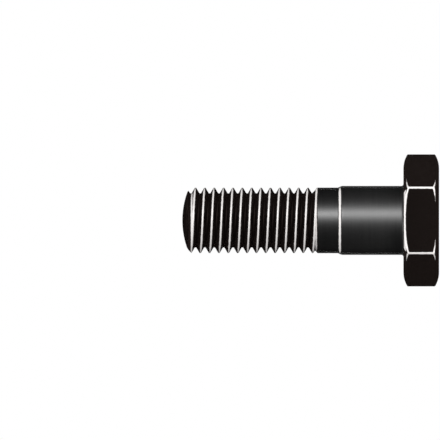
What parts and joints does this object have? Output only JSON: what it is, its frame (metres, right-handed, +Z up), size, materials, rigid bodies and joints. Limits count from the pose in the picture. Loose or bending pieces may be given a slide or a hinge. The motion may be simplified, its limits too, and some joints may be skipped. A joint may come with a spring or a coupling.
{
  "type": "pruning shear pivot bolt",
  "caption": "Black hexagon head pivot bolt with a plain ground shoulder, a short neck and a left-hand fine thread with a domed point.",
  "frame": {"origin": "centre of the head's flat outer face, on the surface that the bolt stands on", "axes": "+Z up along the bolt's axis, from its head to its point; +X square to one flat of the head, +Y through one of its corners"},
  "size_m": [0.0112, 0.0128, 0.0248],
  "materials": {
    "black_oxide_steel": "black oxide on turned steel, rubbed bright on edges and crests"
  },
  "bodies": {
    "root": {"bolt": "black_oxide_steel"}
  },
  "joints": []
}
